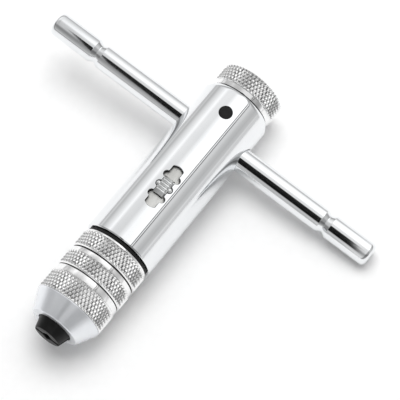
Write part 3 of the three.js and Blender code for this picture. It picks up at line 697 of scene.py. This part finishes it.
def knurled(name, outline, bands, peak):
    """A solid of revolution whose outline runs upward; each (bottom, top) band is knurled.

    The knurl's mesh has a vertex in the middle of each small quad, so that its creases are straight.
    """
    diamonds = round(2 * math.pi * peak / KNURL_WIDTH)
    columns = diamonds * KNURL_STEPS
    step = KNURL_LENGTH / KNURL_STEPS
    rows = []
    for radius, y in outline:
        rows.append((radius, y, None))
        for bottom, top in bands:
            if radius > peak - 0.01 * MM and abs(y - bottom) < NOTHING:
                count = max(2, round((top - bottom) / step))
                for i in range(1, count):
                    rows.append((peak, bottom + (top - bottom) * i / count, (bottom, top)))

    def radius_at(row, column):
        radius, y, band = row
        if band is None:
            return radius
        edge = min(y - band[0], band[1] - y) / KNURL_RUN_OUT
        cut = KNURL_DEPTH * (1 - knurl_height(column / KNURL_STEPS, (y - band[0]) / KNURL_LENGTH))
        ease = KNURL_DEPTH * max(0.0, 1 - edge)
        return radius - max(cut * min(1.0, edge * 2), ease * 0.5)

    def spot(row, column):
        angle = 2 * math.pi * column / columns
        radius = radius_at(row, column)
        return (radius * math.sin(angle), row[1], radius * math.cos(angle))

    vertices = []
    faces = []
    for row in rows:
        if row[0] < NOTHING:
            vertices.extend([(0, row[1], 0)] * columns)
        else:
            vertices.extend(spot(row, column) for column in range(columns))
    for level in range(len(rows) - 1):
        low, high = rows[level], rows[level + 1]
        in_band = low[2] is not None and high[2] is not None
        for column in range(columns):
            after = (column + 1) % columns
            a, b = level * columns + column, level * columns + after
            corners = [a, b, b + columns, a + columns]
            if not in_band:
                faces.append(corners)
                continue
            centre = (peak, (low[1] + high[1]) / 2, low[2])
            vertices.append(spot(centre, column + 0.5))
            for i in range(4):
                faces.append([corners[i], corners[(i + 1) % 4], len(vertices) - 1])
    return tidy(mesh_from(name, vertices, faces), 0.001 * MM, 24)


def knob():
    """The end knob: a stem in the body, a smooth land and a knurled band under a rounded end."""
    bottom, top = along("knurled_knob")
    band_bottom, band_top = KNOB_BAND
    stem = 3.2 * MM
    outline = [(stem, bottom + 0.1 * MM), (stem, KNOB_LAND_BOTTOM)]
    outline += rounded_profile([
        (stem, KNOB_LAND_BOTTOM),
        (KNOB_RADIUS - 0.35 * MM, KNOB_LAND_BOTTOM, 0.15 * MM),
        (KNOB_RADIUS - 0.2 * MM, band_bottom - 0.15 * MM, 0.1 * MM),
        (KNOB_RADIUS, band_bottom),
    ], 0.1 * MM)[1:]
    outline += rounded_profile([
        (KNOB_RADIUS, band_top),
        (KNOB_RADIUS - 0.25 * MM, band_top + 0.35 * MM, 0.3 * MM),
        (KNOB_RADIUS - 1.5 * MM, top - 0.12 * MM, 0.8 * MM),
        (0, top),
    ], 0.3 * MM, 6)
    mesh = knurled("knurled_knob_fine", outline, [KNOB_BAND], KNOB_RADIUS)
    new_object("knurled_knob_fine", mesh, "housing", KNOB_CHROME, ["knurled_knob"])


def chuck_collar():
    """The collar: a spigot for the sleeve and two knurled bands with a land and a groove between."""
    bottom, top = along("chuck_collar")
    shoulder = along("nose_sleeve")[1] + 0.3 * MM
    groove_top = top - 4.8 * MM
    groove_bottom = groove_top - 0.4 * MM
    groove_floor = LAND_RADIUS - 0.55 * MM
    land_bottom = groove_bottom - 1.2 * MM
    bore = 6.3 * MM
    spigot = 7.0 * MM
    lip_outer = CHUCK_RADIUS - 0.2 * MM
    lip_inner = 8.2 * MM
    lower_band = (shoulder + 0.25 * MM, land_bottom - 0.2 * MM)
    upper_band = (groove_top + 0.25 * MM, top - 0.3 * MM)
    outline = [(bore, bottom), (spigot, bottom), (spigot, shoulder), (KNURL_EDGE_RADIUS, shoulder)]
    outline += [(CHUCK_RADIUS, lower_band[0]), (CHUCK_RADIUS, lower_band[1])]
    outline += rounded_profile([
        (KNURL_EDGE_RADIUS, land_bottom),
        (LAND_RADIUS, land_bottom + 0.08 * MM),
        (LAND_RADIUS, groove_bottom, 0.1 * MM),
        (groove_floor, groove_bottom - 0.02 * MM),
        (groove_floor, groove_top),
        (KNURL_EDGE_RADIUS, groove_top),
    ], 0.05 * MM)
    outline += [(CHUCK_RADIUS, upper_band[0]), (CHUCK_RADIUS, upper_band[1])]
    outline += rounded_profile([
        (lip_outer, top - 0.1 * MM),
        (lip_outer, top + COLLAR_LIP, 0.3 * MM),
        (lip_inner, top + COLLAR_LIP, 0.1 * MM),
        (lip_inner, top),
        (bore, top),
    ], 0.1 * MM)
    mesh = knurled("chuck_collar_knurled", outline, [lower_band, upper_band], CHUCK_RADIUS)
    new_object("chuck_collar_knurled", mesh, "chuck", CHUCK_CHROME, ["chuck_collar"])


def nose_sleeve():
    """The chromed, knurled band of the sleeve."""
    bottom, top = along("nose_sleeve")
    land_bottom = top - 1.6 * MM
    cone_top = bottom + CONE_LENGTH
    inner = 7.7 * MM
    band = (cone_top + 0.05 * MM, land_bottom - 0.2 * MM)
    outline = [(inner, cone_top), (KNURL_EDGE_RADIUS, cone_top)]
    outline += [(CHUCK_RADIUS, band[0]), (CHUCK_RADIUS, band[1])]
    outline += rounded_profile([
        (KNURL_EDGE_RADIUS, land_bottom),
        (LAND_RADIUS, land_bottom + 0.08 * MM),
        (LAND_RADIUS, top, 0.15 * MM),
        (inner, top),
    ], 0.05 * MM)
    outline.append((inner, cone_top))
    mesh = knurled("nose_band_knurled", outline, [band], CHUCK_RADIUS)
    new_object("nose_band_knurled", mesh, "nose", CHUCK_CHROME, ["nose_sleeve"])


def nose_cone():
    """The satin cone of the sleeve, with its bore flaring inwards behind a short land."""
    bottom = along("nose_sleeve")[0]
    cone_top = bottom + CONE_LENGTH
    bore = 4.78 * MM
    deep = bottom + 7.1 * MM
    deep_bore = bore + 2.3 * MM
    inner = 7.6 * MM
    outline = rounded_profile([
        (deep_bore, deep),
        (bore, bottom + 0.5 * MM, 0.1 * MM),
        (bore, bottom, 0.12 * MM),
        (6.65 * MM, bottom, 0.45 * MM),
        (CHUCK_RADIUS - 0.12 * MM, cone_top - 0.2 * MM, 0.5 * MM),
        (CHUCK_RADIUS - 0.15 * MM, cone_top),
        (inner, cone_top),
        (inner, deep),
        (deep_bore, deep),
    ], 0.1 * MM, 6)
    mesh = turned("nose_cone_satin", outline)
    new_object("nose_cone_satin", mesh, "nose", SATIN)


# ---------------------------------------------------------------- cross bar, pin and seal

ACROSS = Matrix.Rotation(math.radians(-90), 4, "Z")     # the tool's axis becomes the bar's
OUTWARD = Matrix.Rotation(math.radians(90), 4, "X")     # the tool's axis becomes the switch's


def cross_bar():
    """The sliding bar, with a V-groove near each rounded end, where its detent stops it."""
    half_length = 49.4 * MM
    groove = joints["bar_slide"]["range_m"][1]
    groove_half_width = 1.35 * MM
    groove_depth = 0.72 * MM
    end = rounded_profile([
        (BAR_RADIUS, groove - 4 * MM),
        (BAR_RADIUS, groove - groove_half_width, 0.25 * MM),
        (BAR_RADIUS - groove_depth, groove, 0.4 * MM),
        (BAR_RADIUS, groove + groove_half_width, 0.25 * MM),
        (BAR_RADIUS, half_length, 1.9 * MM),
        (0, half_length),
    ], 0.2 * MM, 8)
    outline = [(r, -y) for r, y in reversed(end)] + end
    mesh = turned("cross_bar_fine", outline, 128)
    mesh.transform(ACROSS)
    new_object("cross_bar_fine", mesh, "bar", BAR_CHROME, ["cross_bar"])


def block_pin():
    """The black pin's end, slightly domed and almost flush with the body."""
    inner = 4.4 * MM
    outer = BODY_RADIUS - 0.08 * MM
    outline = rounded_profile([
        (0, inner),
        (PIN_RADIUS, inner, 0.1 * MM),
        (PIN_RADIUS, outer - 0.12 * MM, 0.15 * MM),
        (PIN_RADIUS * 0.5, outer - 0.02 * MM, 0.5 * MM),
        (0, outer),
    ], 0.1 * MM)
    mesh = turned("block_pin_black", outline, 64)
    mesh.transform(Matrix.Translation((0, middle("block_pin").y - BAR_PLACE, 0)) @ OUTWARD)
    new_object("block_pin_black", mesh, "housing", BLACK, ["block_pin"])


def seal_ring():
    """The rubber ring that fills the gap between the body and the chuck."""
    gap = 0.04 * MM
    low = along("chuck_collar")[1] + COLLAR_LIP + gap
    high = along("body_tube")[0] - gap
    inner = 7.45 * MM
    outer = 8.85 * MM
    corners = [(inner, low), (outer, low), (outer, high), (inner, high), (inner, low)]
    outline = rounded_profile(corners, 0.5 * MM, 8)
    mesh = turned("seal_ring_rubber", outline, 128)
    new_object("seal_ring_rubber", mesh, "housing", RUBBER, ["seal_ring"])


# ---------------------------------------------------------------- switch


def switch_button():
    """The ribbed thumb slider: thin cross ribs and wide hollows between sloping ends."""
    low, high = along("switch_button")
    half_width = 1.42 * MM
    bottom = RELIEF_RADIUS + 0.02 * MM
    top = BODY_RADIUS + 0.55 * MM
    shoulder = BODY_RADIUS - 0.1 * MM
    hollows = 4
    pitch = 0.95 * MM
    hollow_depth = 0.4 * MM
    rib_sharpness = 2.5
    side_drop = 0.22 * MM
    crown = 0.1 * MM
    steps = 10
    first = (low + high) / 2 - hollows * pitch / 2 + 0.15 * MM
    outline = [(low, bottom), (low, shoulder)]
    for i in range(hollows * steps + 1):
        crest = (1 + math.cos(2 * math.pi * i / steps)) / 2
        outline.append((first + pitch * i / steps, top - hollow_depth * (1 - crest ** rib_sharpness)))
    outline += [(high, shoulder), (high, bottom)]
    vertices = []
    sections = [-1, -0.93, -0.8, -0.4, 0, 0.4, 0.8, 0.93, 1]
    for section in sections:
        x = section * half_width
        drop = side_drop * section ** 6 + crown * section ** 2
        vertices.extend((x, y, z - (drop if z > shoulder else 0)) for y, z in outline)
    count = len(outline)
    faces = []
    add_bands(faces, 0, len(sections), count)
    faces.append(list(range(count)))
    faces.append(list(range(len(vertices) - count, len(vertices))))
    mesh = tidy(mesh_from("switch_button_ribbed", vertices, faces), sharp_degrees=40)
    new_object("switch_button_ribbed", mesh, "switch", BUTTON, ["switch_button"])


def switch_clip():
    """The detent clip: a wire with a rounded eye at each end, which shows in the middle notches."""
    out = 1.6 * MM
    height = 9.15 * MM
    eye = 0.7 * MM
    flatness = 0.7
    wire = 0.25 * MM
    neck = math.degrees(math.asin(wire / eye))
    end = arc((0, out), eye, neck - 90, 90, 14)
    outline = [(r, -y) for r, y in reversed(end)] + end
    mesh = turned("switch_clip_ends", outline, 40)
    place = Matrix.Translation((0, SLOT_MIDDLE, height))
    mesh.transform(place @ Matrix.Diagonal((1, 1, flatness, 1)) @ ACROSS)
    new_object("switch_clip_ends", mesh, "switch", BUTTON, ["switch_detent_clip"])


def slot_wall_shade_sheet():
    """A thin black sheet over the slot's wall, below its polished edge: painted shade on the wall."""
    thickness = 0.04 * MM
    top = SLOT_ROUNDING
    bottom = BODY_RADIUS - RELIEF_RADIUS
    outer = slot_outline()
    inner = grown(outer, -thickness)
    vertices = []
    faces = []
    rings = [(outer, top), (outer, bottom), (inner, bottom), (inner, top), (outer, top)]
    add_wall(vertices, faces, rings, 0.0)
    mesh = tidy(mesh_from("slot_lining_dull", vertices, faces))
    # painted shade: a black sheet stands in for the shadow on the slot's wall
    new_object("slot_lining_dull", mesh, "housing", BLACK)


def subdivided(values, step):
    """The values with extra ones between them, so that no two are further apart than a step."""
    result = [values[0]]
    for low, high in zip(values, values[1:]):
        count = math.ceil((high - low) / step)
        result += [low + (high - low) * i / count for i in range(1, count + 1)]
    return result


def switch_carrier():
    """The curved plate under the slot, with its window for the pawl."""
    low, high = along("switch_carrier")
    outer, inner = 8.7 * MM, 7.05 * MM
    half_width = 4.6 * MM
    window_half_width = 1.35 * MM
    window_half_length = 2.65 * MM
    half_angle = math.asin(half_width / outer)
    window_angle = math.asin(window_half_width / outer)
    angles = subdivided([-half_angle, -window_angle, window_angle, half_angle], 0.05)
    window_ends = [SLOT_MIDDLE - window_half_length, SLOT_MIDDLE + window_half_length]
    places = subdivided([low, *window_ends, high], 1.0 * MM)
    columns, rows = len(angles) - 1, len(places) - 1

    def solid(i, j):
        """Whether a cell of the plate is there, rather than in the window or past an edge."""
        if not (0 <= i < columns and 0 <= j < rows):
            return False
        in_x = abs((angles[i] + angles[i + 1]) / 2) < window_angle
        in_y = abs((places[j] + places[j + 1]) / 2 - SLOT_MIDDLE) < window_half_length
        return not (in_x and in_y)

    vertices = []
    for radius in (outer, inner):
        for angle in angles:
            vertices.extend((radius * math.sin(angle), y, radius * math.cos(angle)) for y in places)
    layer = len(angles) * len(places)

    def index(i, j, side):
        return side * layer + i * len(places) + j

    faces = []
    for i in range(columns):
        for j in range(rows):
            if not solid(i, j):
                continue
            corners = [(i, j), (i + 1, j), (i + 1, j + 1), (i, j + 1)]
            faces.append([index(a, b, 0) for a, b in corners])
            faces.append([index(a, b, 1) for a, b in corners])
            neighbours = [(i, j - 1), (i + 1, j), (i, j + 1), (i - 1, j)]
            for side, neighbour in enumerate(neighbours):
                if not solid(*neighbour):
                    a, b = corners[side], corners[(side + 1) % 4]
                    faces.append([index(*a, 0), index(*b, 0), index(*b, 1), index(*a, 1)])
    mesh = tidy(mesh_from("switch_carrier_matt", vertices, faces))
    new_object("switch_carrier_matt", mesh, "switch", MATT, ["switch_carrier"])


# ---------------------------------------------------------------- jaws


def jaw_section(radius, gap, apex, sharp):
    """Half a disc above a gap, with a V-groove; the outline starts at the top and runs to the right."""
    apex_steps = 3
    edge = math.degrees(math.asin(gap / radius))
    curve = [(x, z, 0) for x, z in arc((0, 0), radius, 90, edge, 10)]
    curve[-1] = (*curve[-1][:2], sharp)
    groove = [(apex - gap, gap, sharp), (0, apex, sharp), (gap - apex, gap)]
    right = rounded_profile(curve + groove, 0, apex_steps)[:-1]
    apex_height = min(z for _, z in right[-apex_steps - 1:])
    side = [point for point in right if point[0] > NOTHING]
    mirrored = [(-x, z) for x, z in reversed(side)]
    return [(0, radius)] + side + [(0, apex_height)] + mirrored


def jaw(side, node, body):
    """One half of the tapered collet, with its V-groove and rounded edges."""
    low = along(node)[0] + 0.01 * MM
    length = 10 * MM
    tip_radius = 3.65 * MM
    slope = math.tan(math.radians(17))
    gap = 0.42 * MM
    apex = 1.8 * MM
    corner = 0.14 * MM
    rounding = 0.18 * MM
    rounding_steps = 4
    sections = []
    for step in range(rounding_steps + 1):
        angle = math.pi / 2 * step / rounding_steps
        sections.append((rounding * (1 - math.cos(angle)), rounding * (1 - math.sin(angle))))
    sections.append((length, 0.0))
    vertices = []
    for height, inset in sections:
        radius = tip_radius + slope * height - inset
        outline = jaw_section(radius, gap + inset, apex + inset * math.sqrt(2), corner)
        vertices.extend((x, low + height, side * z) for x, z in outline)
    count = len(outline)
    faces = [list(range(count)), list(range(len(vertices) - count, len(vertices)))]
    add_bands(faces, 0, len(sections), count)
    mesh = tidy(mesh_from(node + "_black", vertices, faces), sharp_degrees=40)
    new_object(node + "_black", mesh, body, BLACK, [node])


# ---------------------------------------------------------------- floor, light and camera

CAMERA_AZIMUTH = math.radians(37.4)
CAMERA_ELEVATION = math.radians(65.8)
CAMERA_ROLL = math.radians(-0.5)
CAMERA_DISTANCE = 0.5386
CAMERA_TARGET = TOOL_ORIGIN + Vector((7.83, -15.33, 0)) * MM
CAMERA_LENS = 196.5
CAMERA_BACK = Vector((
    math.sin(CAMERA_AZIMUTH) * math.cos(CAMERA_ELEVATION),
    -math.cos(CAMERA_AZIMUTH) * math.cos(CAMERA_ELEVATION),
    math.sin(CAMERA_ELEVATION),
))


def camera():
    data = bpy.data.cameras.new("camera")
    data.lens = CAMERA_LENS
    data.sensor_width = 36
    data.clip_start = 0.01
    data.clip_end = 20
    view = bpy.data.objects.new("camera", data)
    place = Matrix.Translation(CAMERA_TARGET + CAMERA_BACK * CAMERA_DISTANCE)
    turn = CAMERA_BACK.to_track_quat("Z", "Y").to_matrix().to_4x4()
    view.matrix_world = place @ turn @ Matrix.Rotation(CAMERA_ROLL, 4, "Z")
    bpy.context.scene.collection.objects.link(view)
    bpy.context.scene.camera = view


def floor():
    """A large level sheet of plain white paper."""
    reach = 6.0
    corners = [(-reach, -reach, 0), (reach, -reach, 0), (reach, reach, 0), (-reach, reach, 0)]
    mesh = mesh_from("floor", corners, [(0, 1, 2, 3)])
    material, nodes, links, shader = new_material("floor")
    grain = noise(nodes, links, tool_coordinates(nodes, links), 400, 3)
    links.new(ramp(nodes, links, grain, [(0.3, 0.93), (0.7, 0.95)]), shader.inputs["Base Color"])
    shader.inputs["Roughness"].default_value = 0.9
    shader.inputs["Specular IOR Level"].default_value = 0.1
    mesh.materials.append(material)
    sheet = bpy.data.objects.new("floor", mesh)
    bpy.context.scene.collection.objects.link(sheet)


# Brightness of the studio by its angle from overhead, in degrees towards the right end of the bar.
STUDIO_ACROSS = [
    (-90, 0.8), (-82, 0.62), (-74, 0.4), (-64, 0.55), (-55, 0.66), (-45, 0.84), (-36, 0.67), (-15, 0.68),
    (-6, 0.85), (2, 1.0), (31, 1.0), (33, 0.9), (34.2, 0.1), (35.4, 0.1), (36.6, 0.8), (38.4, 0.75),
    (39.4, 0.1), (40.6, 0.1), (42, 0.53), (47, 0.54), (56, 0.43), (66, 0.38), (76, 0.47), (86, 0.85),
    (90, 0.85),
]
# The same, as a share, by its angle from overhead towards the nose.
STUDIO_ALONG = [
    (-90, 0.62), (-76, 0.6), (-66, 0.84), (-44, 1.0), (-24, 1.0), (-14, 0.75), (-6, 0.61), (26, 0.57),
    (34, 0.34), (45, 0.26), (58, 0.38), (72, 0.53), (90, 0.58),
]
STUDIO_STRENGTH = 1.38
# A dark gap in the studio's light, overhead and leaning towards the nose: dark where both of these are.
GAP_ACROSS = [(-90, 1), (-8, 1), (-6, 0.02), (6, 0.02), (8, 1), (90, 1)]
GAP_ALONG = [(-90, 1), (8, 1), (10, 0.02), (56, 0.02), (58, 1), (90, 1)]


def angle_bands(nodes, links, side, up, bands):
    """A grey that depends on the angle, in degrees, between straight up and a direction."""
    angle = calculated(nodes, links, "ARCTAN2", side, up)
    share = share_between(nodes, links, angle, -math.pi / 2, math.pi / 2)
    return ramp(nodes, links, share, [((degrees + 90) / 180, grey) for degrees, grey in bands])


def studio_world():
    """A bright tent: bands of light and shade across and along the tool, with one dark gap."""
    world = bpy.data.worlds.new("studio")
    bpy.context.scene.world = world
    world.use_nodes = True
    nodes, links = world.node_tree.nodes, world.node_tree.links
    coordinates = nodes.new("ShaderNodeTexCoord")
    right, back, up = separated(nodes, links, coordinates.outputs["Generated"])
    front = calculated(nodes, links, "MULTIPLY", back, -1)
    across = angle_bands(nodes, links, right, up, STUDIO_ACROSS)
    along_tool = angle_bands(nodes, links, front, up, STUDIO_ALONG)
    bands = blend(nodes, links, "MULTIPLY", across, along_tool)
    gap_across = angle_bands(nodes, links, right, up, GAP_ACROSS)
    gap_along = angle_bands(nodes, links, front, up, GAP_ALONG)
    gap = blend(nodes, links, "LIGHTEN", gap_across, gap_along)
    light = blend(nodes, links, "MULTIPLY", bands, gap)
    links.new(light, nodes["Background"].inputs["Color"])
    nodes["Background"].inputs["Strength"].default_value = STUDIO_STRENGTH


def soft_light(name, place, aim, size, power):
    """A square soft light that isn't seen itself; its power is in watts."""
    data = bpy.data.lights.new(name, "AREA")
    data.shape = "SQUARE"
    data.size = size
    data.energy = power
    lamp = bpy.data.objects.new(name, data)
    lamp.location = place
    lamp.rotation_euler = (Vector(place) - Vector(aim)).to_track_quat("Z", "Y").to_euler()
    lamp.visible_camera = False
    lamp.visible_glossy = False
    bpy.context.scene.collection.objects.link(lamp)


def clad_hidden_nodes():
    """Materials for the inner pieces, which are shown as the CAD makes them."""
    slots = {entry["node"]: entry["material_slot"] for entry in frame["record"]["subparts"]}
    finishes = {
        "plain_steel": STEEL,
        "bronze": BRONZE,
        "black_oxide": BLACK,
        "seal_rubber": RUBBER,
        "satin_steel": MATT,
        "button_chrome": BUTTON,
    }
    for name, node in frame["nodes"].items():
        node.data.materials.clear()
        node.data.materials.append(finishes.get(slots[name], STEEL))


clad_hidden_nodes()
body_tube()
knob()
chuck_collar()
nose_sleeve()
nose_cone()
cross_bar()
block_pin()
seal_ring()
slot_wall_shade_sheet()
switch_carrier()
switch_button()
switch_clip()
jaw(1, "jaw_upper", "upper_jaw")
jaw(-1, "jaw_lower", "lower_jaw")
floor()
studio_world()
soft_light("overhead", place=(-0.1, 0.15, 0.7), aim=(0, 0, 0), size=0.5, power=3.0)
camera()
bpy.context.scene.view_settings.view_transform = "Standard"
